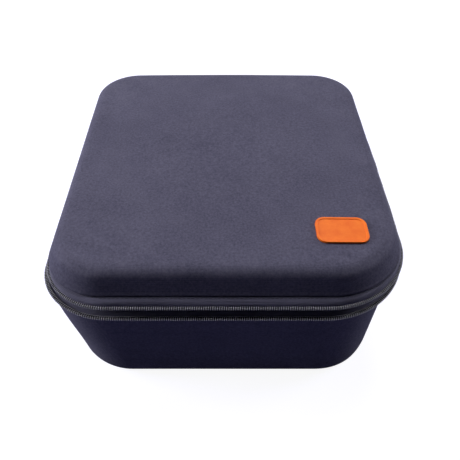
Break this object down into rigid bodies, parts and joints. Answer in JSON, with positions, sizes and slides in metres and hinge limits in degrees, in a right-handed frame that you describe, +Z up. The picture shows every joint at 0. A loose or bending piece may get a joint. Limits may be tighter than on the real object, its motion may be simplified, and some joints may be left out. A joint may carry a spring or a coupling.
{
  "type": "loupe carry case",
  "caption": "Moulded zip-round carry case with a shallow crowned lid, a deep tapered base, a fabric hinge and a foam tray with pockets for loupes and their light.",
  "frame": {"origin": "centre of the flat underside that the case rests on", "axes": "+X to the case's right, +Y to the back where the hinge is, +Z up"},
  "size_m": [0.2622, 0.2879, 0.1256],
  "materials": {
    "eva_foam": "matte",
    "cover_fabric": "matte",
    "lining_fabric": "matte",
    "binding": "matte",
    "zip_tape": "matte",
    "zip_coil": "satin",
    "insert_foam": "matte",
    "slider_metal": "satin",
    "badge": "satin"
  },
  "bodies": {
    "base": {"base_shell": "eva_foam", "base_outer_fabric": "cover_fabric", "base_lining": "lining_fabric", "base_edge_binding": "binding", "base_zip_tape": "zip_tape", "base_zip_coil": "zip_coil", "foam_floor_pad": "insert_foam", "foam_back_wall": "insert_foam", "foam_front_wall": "insert_foam", "foam_left_wall": "insert_foam", "foam_right_wall": "insert_foam", "foam_cross_divider": "insert_foam", "foam_middle_divider": "insert_foam", "foam_short_divider": "insert_foam", "foam_battery_riser": "insert_foam", "foam_light_riser": "insert_foam", "foam_accessory_riser": "insert_foam", "hinge_strip": "zip_tape", "hinge_lining": "lining_fabric", "left_tail_coil": "zip_coil", "right_tail_coil": "zip_coil", "left_tail_tape": "zip_tape", "right_tail_tape": "zip_tape", "left_end_stop": "slider_metal", "right_end_stop": "slider_metal"},
    "lid": {"lid_shell": "eva_foam", "lid_outer_fabric": "cover_fabric", "lid_lining": "lining_fabric", "lid_edge_binding": "binding", "lid_zip_tape": "zip_tape", "lid_zip_coil": "zip_coil", "lid_foam_pad": "insert_foam", "badge": "badge"},
    "left_slider": {"left_slider_body": "slider_metal"},
    "right_slider": {"right_slider_body": "slider_metal"},
    "left_pull": {"left_pull_tab": "slider_metal"},
    "right_pull": {"right_pull_tab": "slider_metal"}
  },
  "joints": [
    {"name": "lid_hinge", "type": "hinge", "parent": "base", "child": "lid", "pos_m": [0, 0.1412, 0.09321], "axis": [-1, 0, 0], "range_deg": [0, 95], "deforming": ["hinge_strip", "hinge_lining", "left_tail_tape", "right_tail_tape"]},
    {"name": "left_slider_slide", "type": "slide", "parent": "base", "child": "left_slider", "axis": [1, 0, 0], "range_m": [0, 0.021]},
    {"name": "right_slider_slide", "type": "slide", "parent": "base", "child": "right_slider", "axis": [-1, 0, 0], "range_m": [0, 0.021]},
    {"name": "left_pull_swing", "type": "hinge", "parent": "left_slider", "child": "left_pull", "pos_m": [-0.0703, 0.1445, 0.09321], "axis": [0, 0, 1], "range_deg": [0, 130]},
    {"name": "right_pull_swing", "type": "hinge", "parent": "right_slider", "child": "right_pull", "pos_m": [0.0703, 0.1445, 0.09321], "axis": [0, 0, -1], "range_deg": [0, 130]}
  ]
}
